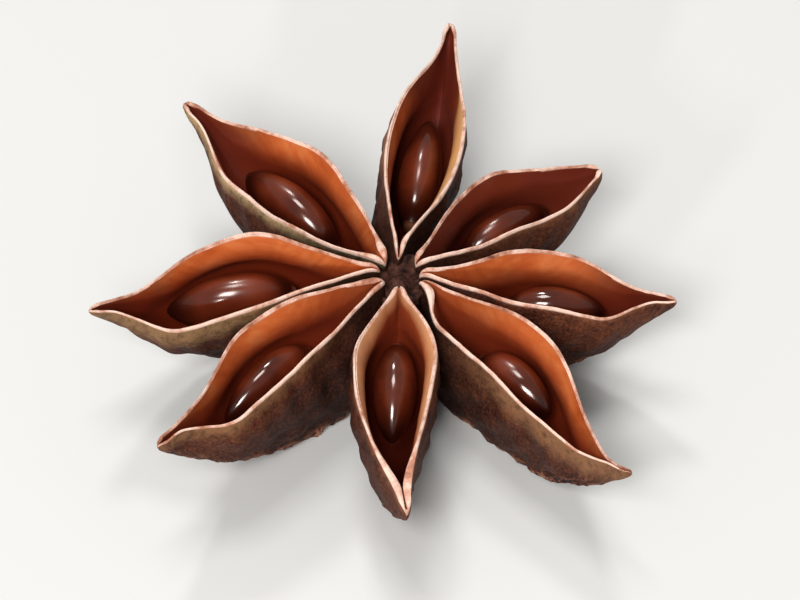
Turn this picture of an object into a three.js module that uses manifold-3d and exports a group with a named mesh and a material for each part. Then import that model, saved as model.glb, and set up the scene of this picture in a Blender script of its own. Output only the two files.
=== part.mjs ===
// A dried star anise pod: eight boat-shaped follicles joined round a short column, each split
// open along its top and holding one seed. Millimetres, +Z up, resting on its keels at z = 0.
//
// A place on a follicle is given by t, from 0 at the pod's axis to 1 at the beak, by how far
// it lies across the slit and by how deep it lies below the rims.

import * as THREE from 'three';
import { mergeVertices } from 'three/addons/utils/BufferGeometryUtils.js';
import Module from 'manifold-3d';

const wasm = await Module();
wasm.setup();

// The whole pod.
const POD_DEPTH = 9.5;            // from the rims at the axis down to the keels
const REST_SLICE = 0.2;           // worn off the keels, where the pod stands on them
const KEEL_TURN = 0.3;            // the t at which a keel is lowest
const KEEL_RISE = 2.0;            // power of the keel's curve from there up to the beak
const HUB_RISE = 0.95;            // how much higher the keels lie at the axis

// The follicles' walls.
const BEAK_TIP = 0.45;            // the beak's very end, as a share of its half-width
const BEAK_ROUND = 0.06;          // the share of t in which it would narrow to nothing
const WALL_POWER = 0.4;           // how blunt the keel is
const WALL_BULGE = 0.25;          // how far the sides swell, as a share of the half-width
const JOIN_START = 0.16;          // the t up to which neighbours meet below their rims
const JOIN_END = 0.36;            // the t from which they stand clear of each other
const JOIN_OVERLAP = 1.04;        // neighbours are widened past their meeting line, to join
const JOIN_BELOW = [0.03, 0.3];   // the shares of the depth between which the walls swell to meet
const JOIN_ABOVE = [0.8, 1];      // and those between which they part again above the keel
const RIM_WALL = 0.36;
const KEEL_WALL = 1.1;
const HOLLOW_START = 0.12;
const HOLLOW_FULL = 0.36;         // the t from which the hollow has its full depth
const HOLLOW_END = 0.95;
const HOLLOW_SHALLOW = 0.3;       // depth of the hollow at its start, as a share of the full
const HOLLOW_POWER = 0.33;
const HOLLOW_BULGE = 0.2;
const CUSHION = 0.26;             // how far the lining swells over the seed, of the half-width
const CUSHION_DEPTH = 1.5;        // how deep below the rims it stands out most
const CUSHION_FOOT = 3.2;         // where it ends above the seed's pocket
const OVERCUT = 1.2;              // how far the cutters reach past what they cut

// Relief of the outside.
const CRAG_HEIGHT = 0.22;
const CRAG_LENGTH = 2.4;
const CRAG_BREADTH = 1.5;
const BAND_HALF_WIDTH = 0.95;     // the wrinkled band along each keel
const SIDE_WRINKLE = 0.07;
const CALM_START = [0.1, 0.3];    // the t between which relief sets in
const CALM_END = [0.88, 1];       // and between which it dies away
const BEAK_CALM = 0.6;            // how much weaker the crags get towards the beaks
const BEAK_CALM_SPAN = [0.55, 0.9];
const RIM_WAVE = 0.09;
const RIM_WAVE_LENGTH = 4.3;

// The middle of the pod.
const FOLLICLE_START = 1.25;      // how near the axis the follicles begin
const COLUMN_RADIUS = 1.75;
const COLUMN_TOP = -0.75;
const COLUMN_FOOT = 1.2;          // above the keels
const PIT_RADIUS = 1.15;
const PIT_DEPTH = 1.5;
const STALK_RADIUS = 1.05;
const STALK_CLEAR = 0.4;          // the broken stalk ends this far above the keels
const STALK_HOLLOW = 0.35;

// How finely the surfaces are divided.
const STATIONS = 18;
const OUTER_STEPS = 14;
const HOLLOW_STATIONS = 12;
const HOLLOW_SHARES = [0, 0.07, 0.15, 0.25, 0.42, 0.68, 0.92, 1];
const SEED_STATIONS = 8;
const SEED_SIDES = 12;
const COLUMN_SIDES = 14;

// Each follicle: its direction, length and half-width; where it is widest, and how much further
// out the wall counterclockwise of the slit is than that (stagger), as the other is further in;
// how it narrows towards the beak (taper) and the axis (waist), and to what half-width (end);
// how its rims droop, arch up and turn up at the beak; how it bows to one side and winds
// (hook); how it leans; how thick its beak ends. Then its seed: where it lies along the
// follicle, how deep its top edge lies, its length and its nod in degrees.
const FOLLICLES = [
  { turn: -2.5, length: 14.9, half: 2.2, widest: 0.6, stagger: -0.11, taper: 2.2, waist: 1.9,
    end: 0.3, droop: 3.45, arch: 0.6, beak: 1.5, bow: 0.3, hook: -0.6, lean: 0, tip: 0.45,
    seedAt: 0.55, seedTop: 1.1, seed: 5.6, nod: 1 },
  { turn: 37.5, length: 13.8, half: 2.15, widest: 0.62, stagger: -0.1, taper: 1.2, waist: 1.65,
    end: 0.5, droop: 2.45, arch: 0.3, beak: 0.75, bow: 0.65, hook: -0.45, lean: 0, tip: 1.2,
    seedAt: 0.56, seedTop: 1.2, seed: 6.2, nod: 2 },
  { turn: 81, length: 17.8, half: 2.2, widest: 0.53, stagger: 0.11, taper: 1.7, waist: 2.0,
    end: 0.35, droop: 0.9, arch: 0, beak: 0.75, bow: 0.15, hook: 0.45, lean: 6, tip: 0.45,
    seedAt: 0.53, seedTop: 1.1, seed: 7.2, nod: -7 },
  { turn: 135.5, length: 16.5, half: 2.55, widest: 0.59, stagger: 0.06, taper: 1.75, waist: 1.25,
    end: 0.4, droop: 1.3, arch: 0, beak: 1.45, bow: -0.5, hook: 0.4, lean: 0, tip: 0.45,
    seedAt: 0.54, seedTop: 1.0, seed: 7.2, nod: -6 },
  { turn: 187.5, length: 16.8, half: 2.55, widest: 0.59, stagger: 0.12, taper: 2.35, waist: 2.1,
    end: 0.3, droop: 2.85, arch: 1.5, beak: 2.0, bow: -0.3, hook: 0.6, lean: -13, tip: 0.45,
    seedAt: 0.53, seedTop: 1.2, seed: 7.2, nod: 3 },
  { turn: 221.5, length: 17.1, half: 2.2, widest: 0.58, stagger: 0.13, taper: 3.1, waist: 1.45,
    end: 0.3, droop: 2.2, arch: 0.65, beak: 1.3, bow: -0.65, hook: 0.15, lean: 0, tip: 0.45,
    seedAt: 0.51, seedTop: 1.2, seed: 6.8, nod: -3 },
  { turn: 271.5, length: 14.7, half: 2.2, widest: 0.39, stagger: 0, taper: 1.15, waist: 2.2,
    end: 0.3, droop: 2.0, arch: 0.55, beak: -0.3, bow: -0.5, hook: 0.15, lean: -1, tip: 0.8,
    seedAt: 0.42, seedTop: 1.0, seed: 6, nod: 9 },
  { turn: 312.5, length: 18.1, half: 2.25, widest: 0.34, stagger: 0.11, taper: 1.75, waist: 3.0,
    end: 0.15, droop: 2.4, arch: -0.6, beak: 1.75, bow: 1.2, hook: 0.65, lean: -3, tip: 0.35,
    seedAt: 0.42, seedTop: 1.2, seed: 5.4, nod: -1 },
];
const SEED_GIRTH = 1.08;          // its thickness, as a share of the follicle's half-width
const SEED_HEIGHT = 0.58;         // as a share of its length
const SEED_REACH = 0.15;          // how far a seed reaches to either side of its middle, in t

const HUSK_COLOUR = 0x6b3a22;
const SEED_COLOUR = 0x4a1a0e;

const { sin, cos, tan, atan2, hypot, max, min, abs, sign, PI } = Math;
const { degToRad, smoothstep } = THREE.MathUtils;

// --- Solids -------------------------------------------------------------------------------

function toSolid(geometry) {
  const bare = geometry.clone();
  bare.deleteAttribute('normal');
  bare.deleteAttribute('uv');
  const merged = mergeVertices(bare, 1e-4);
  const vertProperties = Float32Array.from(merged.attributes.position.array);
  const triVerts = Uint32Array.from(merged.index.array);
  return new wasm.Manifold(new wasm.Mesh({ numProp: 3, vertProperties, triVerts }));
}

function toGeometry(solid) {
  const mesh = solid.getMesh();
  const geometry = new THREE.BufferGeometry();
  geometry.setAttribute('position', new THREE.BufferAttribute(mesh.vertProperties, 3));
  geometry.setIndex(new THREE.BufferAttribute(mesh.triVerts, 1));
  geometry.computeVertexNormals();
  return geometry;
}

// A closed skin over a row of rings, each ring a list of as many points.
function loft(rings) {
  const sides = rings[0].length;
  const middle = (ring) => ring.reduce((sum, p) => sum.add(p), new THREE.Vector3())
    .divideScalar(sides);
  const points = [...rings.flat(), middle(rings[0]), middle(rings.at(-1))];
  const first = points.length - 2;
  const last = points.length - 1;
  const triangles = [];
  for (let i = 0; i < rings.length - 1; i += 1) {
    for (let j = 0; j < sides; j += 1) {
      const a = i * sides + j;
      const b = i * sides + ((j + 1) % sides);
      triangles.push(a, b, b + sides, a, b + sides, a + sides);
    }
  }
  const end = (rings.length - 1) * sides;
  for (let j = 0; j < sides; j += 1) {
    const next = (j + 1) % sides;
    triangles.push(first, next, j, last, end + j, end + next);
  }
  const geometry = new THREE.BufferGeometry().setFromPoints(points);
  geometry.setIndex(triangles);
  return geometry;
}

function lathe(outline, sides) {
  const geometry = new THREE.LatheGeometry(outline.map(([r, z]) => new THREE.Vector2(r, z)), sides);
  return geometry.rotateX(PI / 2);
}

// Evenly spaced values from low to high, both included.
function spread(low, high, steps) {
  return Array.from({ length: steps + 1 }, (_, i) => low + ((high - low) * i) / steps);
}

// --- The shape of a follicle --------------------------------------------------------------

// How far a wall's rim stands from the slit's middle; side is 1 for the wall counterclockwise
// of the slit, seen from above, and -1 for the other.
function halfWidth(f, t, side) {
  const widest = f.widest + side * f.stagger;
  const inner = sin((PI / 2) * min(1, t / widest)) ** f.waist;
  const outer = max(0, cos((PI / 2) * max(0, (t - widest) / (1 - widest)))) ** f.taper;
  const blunt = min(1, BEAK_TIP + (1 - t) / BEAK_ROUND);
  return hypot(f.half * inner * outer, f.end) * blunt;
}

function rimHeight(f, t) {
  const upturn = max(0, (t - 0.7) / 0.3) ** 2;
  return -f.droop * t + f.arch * 4 * t * (1 - t) + f.beak * upturn;
}

function keelHeight(f, t) {
  if (t < KEEL_TURN) {
    return -POD_DEPTH + HUB_RISE * (1 - t / KEEL_TURN) ** 2;
  }
  const beakFoot = rimHeight(f, 1) - f.tip;
  return -POD_DEPTH + (beakFoot + POD_DEPTH) * ((t - KEEL_TURN) / (1 - KEEL_TURN)) ** KEEL_RISE;
}

function wallDepth(f, t) {
  return rimHeight(f, t) - keelHeight(f, t);
}

// How far the slit's middle strays sideways from the follicle's straight line.
function stray(f, t) {
  return f.bow * 4 * t * (1 - t) + f.hook * sin(2 * PI * t);
}

// The point at t, so far across the slit and so deep below the rims' level.
function place(f, t, across, depth) {
  const lean = degToRad(f.lean);
  const side = across * cos(lean) + depth * sin(lean) + stray(f, t);
  const height = rimHeight(f, t) + across * sin(lean) - depth * cos(lean);
  const out = f.length * t;
  const turn = degToRad(f.turn);
  return new THREE.Vector3(
    out * cos(turn) - side * sin(turn),
    out * sin(turn) + side * cos(turn),
    height,
  );
}

// Half the angle between a follicle and its neighbour on a side.
function halfGap(f, side) {
  const count = FOLLICLES.length;
  const next = FOLLICLES[(FOLLICLES.indexOf(f) + side + count) % count];
  return degToRad((((next.turn - f.turn) * side + 360) % 360) / 2);
}

// How far a wall swells below its rim, near the axis, to meet its neighbour.
function joinWidth(f, t, side, share) {
  const reach = f.length * t * tan(halfGap(f, side)) * JOIN_OVERLAP - halfWidth(f, t, side);
  const below = smoothstep(share, ...JOIN_BELOW) * (1 - smoothstep(share, ...JOIN_ABOVE));
  return max(0, reach) * (1 - smoothstep(t, JOIN_START, JOIN_END)) * below;
}

// How far a wall stands from the middle, at a share of its depth.
function wallShape(share, power, bulge) {
  return (1 - share) ** power * (1 + bulge * 4 * share * (1 - share));
}

// Knobbly crags along the keel and shallow wrinkles beside it.
function relief(f, along, around) {
  const band = 1 - smoothstep(abs(around), BAND_HALF_WIDTH * 0.8, BAND_HALF_WIDTH * 1.5);
  const coarse = sin((2 * PI * along) / CRAG_LENGTH + f.turn + 1.1 * sin(along * 0.83 + f.turn))
    * cos((2 * PI * around) / CRAG_BREADTH + 0.7 * sin(along + f.turn));
  const finer = sin((3.2 * PI * along) / CRAG_LENGTH + around * 1.7 + f.turn * 2.1);
  const knobs = (0.62 * coarse + 0.38 * finer) * (0.65 + 0.35 * sin(along * 0.47 + f.turn * 1.3));
  const wrinkles = sin(along * 1.7 + around * 2.3 + f.turn) + sin(along * 2.9 - around * 1.1);
  return CRAG_HEIGHT * knobs * band + SIDE_WRINKLE * wrinkles * (1 - band);
}

function rimWave(f, t, side) {
  const along = f.length * t;
  return RIM_WAVE * sin((2 * PI * along) / RIM_WAVE_LENGTH + f.turn + side * 1.9);
}

// Rings run from one rim down over the keel to the other. q goes from -1 to 1 across them.
function outerRing(f, t) {
  const depth = wallDepth(f, t);
  const calm = smoothstep(t, ...CALM_START) * (1 - smoothstep(t, ...CALM_END));
  const craggy = calm * (1 - BEAK_CALM * smoothstep(t, ...BEAK_CALM_SPAN));
  return spread(-1, 1, OUTER_STEPS).map((q) => {
    const share = 1 - q * q;
    const side = sign(q);
    const wall = halfWidth(f, t, side) * wallShape(share, WALL_POWER, WALL_BULGE);
    const across = side * (wall + joinWidth(f, t, side, share));
    const around = side * hypot(across, (1 - share) * depth * 0.5);
    const proud = craggy * relief(f, f.length * t, around) * smoothstep(share, 0, 0.35);
    const wave = calm * rimWave(f, t, side) * (1 - smoothstep(share, 0, 0.3));
    const sideways = proud * side * (1 - share ** 4);
    return place(f, t, across + sideways, share * depth + proud * share ** 4 - wave);
  });
}

// Half the hollow's width: it narrows to the lining's cushion and widens again round the seed.
function hollowWidth(f, t, side, share, depth) {
  const slit = max(0.12, halfWidth(f, t, side) - RIM_WALL);
  const deep = share * depth;
  const swell = sin((PI / 2) * min(1, deep / CUSHION_DEPTH))
    * (1 - smoothstep(deep, CUSHION_DEPTH, CUSHION_FOOT));
  return slit * (wallShape(share, HOLLOW_POWER, HOLLOW_BULGE) - CUSHION * swell);
}

function hollowRing(f, t) {
  const opened = smoothstep(t, HOLLOW_START, HOLLOW_FULL);
  const fullness = HOLLOW_SHALLOW + (1 - HOLLOW_SHALLOW) * opened;
  const depth = max(0.3, (wallDepth(f, t) - KEEL_WALL) * fullness);
  const wall = (side) => HOLLOW_SHARES.map((share) => (
    place(f, t, side * max(0, hollowWidth(f, t, side, share, depth)), share * depth)
  ));
  const mouth = (side) => place(f, t, side * hollowWidth(f, t, side, 0, depth), -OVERCUT);
  return [mouth(-1), ...wall(-1), ...wall(1).slice(0, -1).reverse(), mouth(1)];
}

function follicleSolid(f) {
  const stations = spread(FOLLICLE_START / f.length, 1, STATIONS);
  return toSolid(loft(stations.map((t) => outerRing(f, t))));
}

function hollowSolid(f) {
  const stations = spread(HOLLOW_START, HOLLOW_END, HOLLOW_STATIONS);
  return toSolid(loft(stations.map((t) => hollowRing(f, t))));
}

// --- The husk -----------------------------------------------------------------------------

function columnSolid() {
  const foot = -POD_DEPTH + COLUMN_FOOT;
  const outline = [[0, foot], [COLUMN_RADIUS, foot], [COLUMN_RADIUS, COLUMN_TOP], [0, COLUMN_TOP]];
  return toSolid(lathe(outline, COLUMN_SIDES));
}

// The stub of the stalk under the pod, with its broken, sunken end.
function stalkSolid() {
  const end = -POD_DEPTH + STALK_CLEAR;
  const top = -POD_DEPTH + COLUMN_FOOT + 0.5;
  const outline = [
    [0, end + STALK_HOLLOW],
    [STALK_RADIUS * 0.55, end + STALK_HOLLOW * 0.6],
    [STALK_RADIUS * 0.85, end],
    [STALK_RADIUS, end + 0.15],
    [STALK_RADIUS * 1.3, -POD_DEPTH + HUB_RISE],
    [COLUMN_RADIUS, top],
    [0, top],
  ];
  return toSolid(lathe(outline, COLUMN_SIDES));
}

function pitSolid() {
  const outline = [[0, -PIT_DEPTH], [PIT_RADIUS * 0.6, -PIT_DEPTH * 0.7], [PIT_RADIUS, 0]];
  outline.push([PIT_RADIUS, OVERCUT], [0, OVERCUT]);
  return toSolid(lathe(outline, COLUMN_SIDES));
}

// What is worn off below the keels' resting height.
function floorSolid() {
  const size = 60;
  const box = new THREE.BoxGeometry(size, size, size);
  return toSolid(box.translate(0, 0, -POD_DEPTH + REST_SLICE - size / 2));
}

// The main body alone, without loose scraps or tiny sealed voids.
function largest(solid) {
  const bodies = solid.decompose();
  return bodies.reduce((best, body) => (body.volume() > best.volume() ? body : best));
}

function huskSolid() {
  let husk = columnSolid().add(stalkSolid());
  for (const f of FOLLICLES) {
    husk = husk.add(follicleSolid(f));
  }
  for (const f of FOLLICLES) {
    husk = husk.subtract(hollowSolid(f));
  }
  return largest(husk.subtract(pitSolid()).subtract(floorSolid()));
}

// --- The seeds ----------------------------------------------------------------------------

// A flattened egg, blunter at the outer end, lying along its follicle on its narrow edge.
function seedGeometry(f) {
  const tall = f.seed * SEED_HEIGHT;
  const rings = spread(0.02, 0.98, SEED_STATIONS).map((s) => {
    const girth = sin(PI * s ** 0.9) ** 0.6;
    return spread(0, 1, SEED_SIDES).slice(1).map((turn) => new THREE.Vector3(
      (s - 0.5) * f.seed,
      cos(2 * PI * turn) * girth * SEED_GIRTH * f.half * 0.5,
      sin(2 * PI * turn) * girth * tall * 0.5,
    ));
  });
  return loft(rings);
}

// How far the middle of the open slit lies sideways from the slit's own line.
function offMiddle(f, t) {
  return (halfWidth(f, t, 1) - halfWidth(f, t, -1)) / 2;
}

// The direction in which the open slit runs past the seed.
function heading(f) {
  const ends = [f.seedAt - SEED_REACH, f.seedAt + SEED_REACH];
  const [near, far] = ends.map((t) => stray(f, t) + offMiddle(f, t));
  return degToRad(f.turn) + atan2(far - near, (ends[1] - ends[0]) * f.length);
}

function seedMesh(f, number) {
  const colour = new THREE.MeshStandardMaterial({ color: SEED_COLOUR, roughness: 0.2, metalness: 0 });
  const seed = new THREE.Mesh(seedGeometry(f), colour);
  const depth = f.seedTop + f.seed * SEED_HEIGHT * 0.5;
  seed.position.copy(place(f, f.seedAt, offMiddle(f, f.seedAt), depth));
  seed.rotation.order = 'ZYX';
  seed.rotation.set(degToRad(f.lean), degToRad(f.nod), heading(f));
  seed.name = `seed_${number}`;
  return seed;
}

// --- The pod ------------------------------------------------------------------------------

function huskMesh() {
  const material = new THREE.MeshStandardMaterial({ color: HUSK_COLOUR, roughness: 0.7, metalness: 0 });
  const husk = new THREE.Mesh(toGeometry(huskSolid()), material);
  husk.name = 'husk';
  return husk;
}

function starAnise() {
  const pod = new THREE.Group();
  const husk = huskMesh();
  pod.add(husk);
  FOLLICLES.forEach((f, i) => pod.add(seedMesh(f, i + 1)));
  const bounds = new THREE.Box3().setFromObject(husk);
  const centre = bounds.getCenter(new THREE.Vector3());
  pod.position.set(-centre.x, -centre.y, -bounds.min.z);
  return pod;
}

export default starAnise();
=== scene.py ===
"""The looks of a dried star anise pod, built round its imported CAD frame.

The husk and the seeds follow the same named sizes as their CAD solids, at a finer scale, with
thinner rims and with the fine crags and wrinkles that the solids leave out. Shapes are worked
out in millimetres in the pod's own frame, with its axis at the origin and the rims at the axis
at height 0, and are then moved to the CAD's frame, in metres.

A place on a follicle is given by t, from 0 at the axis to 1 at the beak, by how far it lies
across the slit and by how deep it lies below the rims. A side is 1 for the wall that lies
counterclockwise of the slit, seen from above, and -1 for the other one.
"""

import math

import bpy
import numpy as np
from mathutils import Euler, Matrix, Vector, noise
from mathutils.kdtree import KDTree


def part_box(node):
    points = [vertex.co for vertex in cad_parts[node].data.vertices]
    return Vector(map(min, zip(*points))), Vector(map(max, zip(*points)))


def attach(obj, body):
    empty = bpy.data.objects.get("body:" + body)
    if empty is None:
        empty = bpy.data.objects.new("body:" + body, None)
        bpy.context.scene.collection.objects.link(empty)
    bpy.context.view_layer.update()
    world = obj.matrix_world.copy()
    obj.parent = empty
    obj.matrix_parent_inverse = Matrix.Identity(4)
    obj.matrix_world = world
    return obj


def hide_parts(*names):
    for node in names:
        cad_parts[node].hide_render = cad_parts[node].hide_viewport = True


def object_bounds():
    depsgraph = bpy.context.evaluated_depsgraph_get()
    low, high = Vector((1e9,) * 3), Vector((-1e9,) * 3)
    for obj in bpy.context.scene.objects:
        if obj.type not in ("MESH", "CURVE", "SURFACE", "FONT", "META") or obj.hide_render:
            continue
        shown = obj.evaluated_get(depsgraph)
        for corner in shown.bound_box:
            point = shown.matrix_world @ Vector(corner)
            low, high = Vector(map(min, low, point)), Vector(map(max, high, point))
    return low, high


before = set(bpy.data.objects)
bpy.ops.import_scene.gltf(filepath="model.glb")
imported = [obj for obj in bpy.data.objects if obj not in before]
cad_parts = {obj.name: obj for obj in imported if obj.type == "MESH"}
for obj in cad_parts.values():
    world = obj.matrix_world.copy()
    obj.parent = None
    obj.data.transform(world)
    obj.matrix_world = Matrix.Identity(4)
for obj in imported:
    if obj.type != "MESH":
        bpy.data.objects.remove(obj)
CAD_LOW, CAD_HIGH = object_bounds()
MM = 0.001

# ---------------------------------------------------------------------------------------------
# Sizes of the pod, in millimetres, as in its CAD source
# ---------------------------------------------------------------------------------------------

POD_DEPTH = 9.5
REST_SLICE = 0.2
KEEL_TURN = 0.3
KEEL_RISE = 2.0
HUB_RISE = 0.95
BEAK_TIP = 0.45
BEAK_ROUND = 0.06
WALL_POWER = 0.4
WALL_BULGE = 0.25
JOIN_START = 0.16
JOIN_END = 0.36
JOIN_OVERLAP = 1.04
JOIN_BELOW = (0.03, 0.3)
JOIN_ABOVE = (0.8, 1)
KEEL_WALL = 1.1
HOLLOW_START = 0.12
HOLLOW_FULL = 0.36
HOLLOW_END = 0.95
HOLLOW_SHALLOW = 0.3
HOLLOW_POWER = 0.33
HOLLOW_BULGE = 0.2
CUSHION = 0.26
CUSHION_DEPTH = 1.5
CUSHION_FOOT = 3.2
CRAG_LENGTH = 2.4
CRAG_BREADTH = 1.5
BAND_HALF_WIDTH = 0.95
SIDE_WRINKLE = 0.07
CALM_START = (0.1, 0.3)
CALM_END = (0.88, 1)
BEAK_CALM = 0.6
BEAK_CALM_SPAN = (0.55, 0.9)
RIM_WAVE = 0.09
RIM_WAVE_LENGTH = 4.3
COLUMN_RADIUS = 1.75
COLUMN_TOP = -0.75
COLUMN_FOOT = 1.2
PIT_RADIUS = 1.15
PIT_DEPTH = 1.5
STALK_RADIUS = 1.05
STALK_CLEAR = 0.4
STALK_HOLLOW = 0.35
SEED_GIRTH = 1.08                 # a seed's thickness, as a share of the follicle's half-width
SEED_HEIGHT = 0.58                # as a share of its length
SEED_REACH = 0.15                 # how far it reaches to either side of its middle, in t

SHAPE_FIELDS = (
    "turn length half widest stagger taper waist end droop arch beak bow hook lean tip"
).split()
SHAPE_ROWS = (
    (-2.5, 14.9, 2.2, 0.6, -0.11, 2.2, 1.9, 0.3, 3.45, 0.6, 1.5, 0.3, -0.6, 0, 0.45),
    (37.5, 13.8, 2.15, 0.62, -0.1, 1.2, 1.65, 0.5, 2.45, 0.3, 0.75, 0.65, -0.45, 0, 1.2),
    (81, 17.8, 2.2, 0.53, 0.11, 1.7, 2.0, 0.35, 0.9, 0, 0.75, 0.15, 0.45, 6, 0.45),
    (135.5, 16.5, 2.55, 0.59, 0.06, 1.75, 1.25, 0.4, 1.3, 0, 1.45, -0.5, 0.4, 0, 0.45),
    (187.5, 16.8, 2.55, 0.59, 0.12, 2.35, 2.1, 0.3, 2.85, 1.5, 2.0, -0.3, 0.6, -13, 0.45),
    (221.5, 17.1, 2.2, 0.58, 0.13, 3.1, 1.45, 0.3, 2.2, 0.65, 1.3, -0.65, 0.15, 0, 0.45),
    (271.5, 14.7, 2.2, 0.39, 0, 1.15, 2.2, 0.3, 2.0, 0.55, -0.3, -0.5, 0.15, -1, 0.8),
    (312.5, 18.1, 2.25, 0.34, 0.11, 1.75, 3.0, 0.15, 2.4, -0.6, 1.75, 1.2, 0.65, -3, 0.35),
)
SEED_FIELDS = "seed_at seed_top seed nod".split()
SEED_ROWS = (
    (0.55, 1.1, 5.6, 1),
    (0.56, 1.2, 6.2, 2),
    (0.53, 1.1, 7.2, -7),
    (0.54, 1.0, 7.2, -6),
    (0.53, 1.2, 7.2, 3),
    (0.51, 1.2, 6.8, -3),
    (0.42, 1.0, 6, 9),
    (0.42, 1.2, 5.4, -1),
)

# ---------------------------------------------------------------------------------------------
# What only the looks have: each follicle's finish, and sizes in millimetres, shares and counts
# ---------------------------------------------------------------------------------------------

# How dark the lining is (gloom); its painted shade at the beak (dusk), which sets in at dusk_at
# along the follicle, and at the axis (throat); how wide the lining's tan band is along the rim of
# side 1 (ccw) and of side -1 (cw), and how golden, the band being partly painted light; how far
# down the outer walls' olive strip reaches on either side, partly painted light; how creamy and how
# pink that strip is; how much wider the rims get at the beak (lips); how pale the rim of either
# side is, partly a painted highlight on the rims that face the front; and how far the follicle
# stands aside, near the axis, for the neighbour that it would run into (shy, in millimetres).
FINISH_FIELDS = (
    "gloom dusk dusk_at throat band_ccw band_cw gold strip_ccw strip_cw cream pink lips "
    "pale_ccw pale_cw shy"
).split()
FINISH_ROWS = (
    (0.1, 0.9, 0.62, 0.4, 0.0, 0.0, 0.0, 0.3, 0.3, 0.0, 0.3, 0.0, 0.4, 0.9, 0.12),
    (0.95, 0.9, 0.6, 0.6, 0.0, 0.0, 0.0, 0.5, 0.6, 0.0, 0.1, 0.0, 0.5, 1.0, 0),
    (0.25, 0.9, 0.58, 0.7, 0.0, 1.7, 1.0, 1.4, 0.4, 0.5, 0.9, 0.0, 0.9, 0.8, 0),
    (0.1, 0.9, 0.71, 0.0, 0.0, 0.0, 0.0, 1.0, 0.8, 1.0, 0.0, 0.0, 1.0, 0.4, 0),
    (0.0, 0.8, 0.7, 0.0, 0.0, 0.0, 0.0, 2.2, 0.9, 0.35, 0.0, 0.0, 0.9, 0.4, -0.3),
    (0.1, 0.7, 0.7, 0.9, 0.0, 0.0, 0.0, 1.2, 0.8, 0.15, 0.1, 0.0, 0.8, 0.3, 0.12),
    (0.25, 0.0, 1.0, 0.7, 0.9, 1.3, 0.4, 0.5, 0.7, 0.0, 0.4, 0.3, 0.7, 0.9, 0),
    (0.1, 0.5, 0.72, 0.6, 0.0, 0.0, 0.0, 0.8, 2.0, 0.2, 0.2, 0.0, 0.4, 0.9, -0.04),
)
FOLLICLES = [
    dict(zip(SHAPE_FIELDS + SEED_FIELDS + FINISH_FIELDS, shape + seed + finish))
    for shape, seed, finish in zip(SHAPE_ROWS, SEED_ROWS, FINISH_ROWS)
]
TONES = "gloom dusk dusk_at throat gold cream pink".split()    # what the materials read as it is

STATIONS = 130                    # rings along a follicle
START_MARGIN = 0.0006             # how far within a follicle's ends its end rings lie, in t
END_MARGIN = 0.0004
FOLLICLE_START = 1.05             # where the follicles begin, from the axis
KEEL_POINTS = 28                  # points of a ring across the keel's band
KEEL_SHARE = 0.42                 # the keel's band as a share of the ring
SIDE_POINTS = 22                  # down each side
RIM_POINTS = 8                    # over each rim and down to the slit
RIM_REACH = 1.4                   # how far they run, as a share of the rim's width
HOLLOW_STATIONS = 110
HOLLOW_LEAD = 0.012               # how far before the slit's start the hollow's rings begin, in t
HOLLOW_LEAST = 0.25               # the least depth of a hollow, below the slit's crack
HOLLOW_POINTS = 23                # down each side of the hollow
RIM_WALL = 0.2
RIM_CROWN = 0.05
RIM_FALL = 0.2                    # how far the rims' tops fall towards the slit
RIM_UNEVEN = 0.05
UNEVEN_START = (0.04, 0.12)       # the stretch of t in which the rims become uneven
LIPS_SPAN = (0.72, 0.9)           # the stretch of t in which the rims get wider, where they do
# A golden band, partly painted light, shows between these stretches of t.
BELLY_START = (0.15, 0.38)        # the stretches of t between which a golden band shows
BELLY_END = (0.58, 0.8)
WALL_THICKENS = 0.15              # how much thicker the walls are below than at the rims
RIM_FADE = 0.3                    # the share of the way down in which a rim's wave fades
BULB_AT = 1.75                    # where the rims thicken, from the axis
BULB_LENGTH = 0.35
BULB_RISE = 0.03
HUB_SLIM = 0.6                    # how wide the follicles' inner ends are, beside the CAD's
HUB_SLIM_SPAN = (0.1, 0.28)
SHY_START = (0.02, 0.1)
SHY_END = (0.36, 0.6)
START_ROUND = 0.035               # the share of t in which a follicle's inner end rounds off
START_DIP = 0.5                   # how far its rims fall there
TIP_ROUND = 0.012
SLIT_START = 0.07
SLIT_MOUTH = 0.17                 # the t by which the slit has opened to its full width
SLIT_END = 0.99
SLIT_CRACK = 0.055                # half the slit's width where it is a mere crack
CRACK_DEPTH = 0.45
MOUTH_HEIGHT = 0.8                # how far the cutting bodies rise above the rims
MOUTH_FLARE = 0.12
CRAG_HEIGHT = 0.11                # half as high as in the CAD, under the finer ones
FINE_CRAG = 0.14
FINER_CRAG = 0.08
CREST_STEEP = 2.6
FIBRE = 0.045
SIDE_LUMP = 0.12
LINING_RIPPLE = 0.02
COLUMN_SIDES = 72
COLUMN_STEPS = 90
COLUMN_RIDGE = 0.12
COLUMN_LUMP = 0.22
SEED_STATIONS = 48
SEED_SIDES = 40
SEED_DENT = 0.25                  # the dent at a seed's inner end, as a share of its height
SEED_SCAR = 0.05                  # the scar's length there, as a share of the seed's
SHARP_EDGE = 50                   # the husk's edges of more degrees than this stay sharp

# ---------------------------------------------------------------------------------------------
# The shape of a follicle
# ---------------------------------------------------------------------------------------------


def smoothstep(x, low, high):
    share = np.clip((np.asarray(x, float) - low) / (high - low), 0, 1)
    return share * share * (3 - 2 * share)


def half_width(f, t, side):
    widest = f["widest"] + side * f["stagger"]
    inner = np.sin(math.pi / 2 * np.minimum(1, t / widest)) ** f["waist"]
    beyond = np.maximum(0, (t - widest) / (1 - widest))
    outer = np.maximum(0, np.cos(math.pi / 2 * beyond)) ** f["taper"]
    blunt = np.minimum(1, BEAK_TIP + (1 - t) / BEAK_ROUND)
    slim = HUB_SLIM + (1 - HUB_SLIM) * smoothstep(t, *HUB_SLIM_SPAN)
    return np.hypot(f["half"] * inner * outer, f["end"] * slim) * blunt


def rim_height(f, t):
    upturn = np.maximum(0, (t - 0.7) / 0.3) ** 2
    return -f["droop"] * t + f["arch"] * 4 * t * (1 - t) + f["beak"] * upturn


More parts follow.
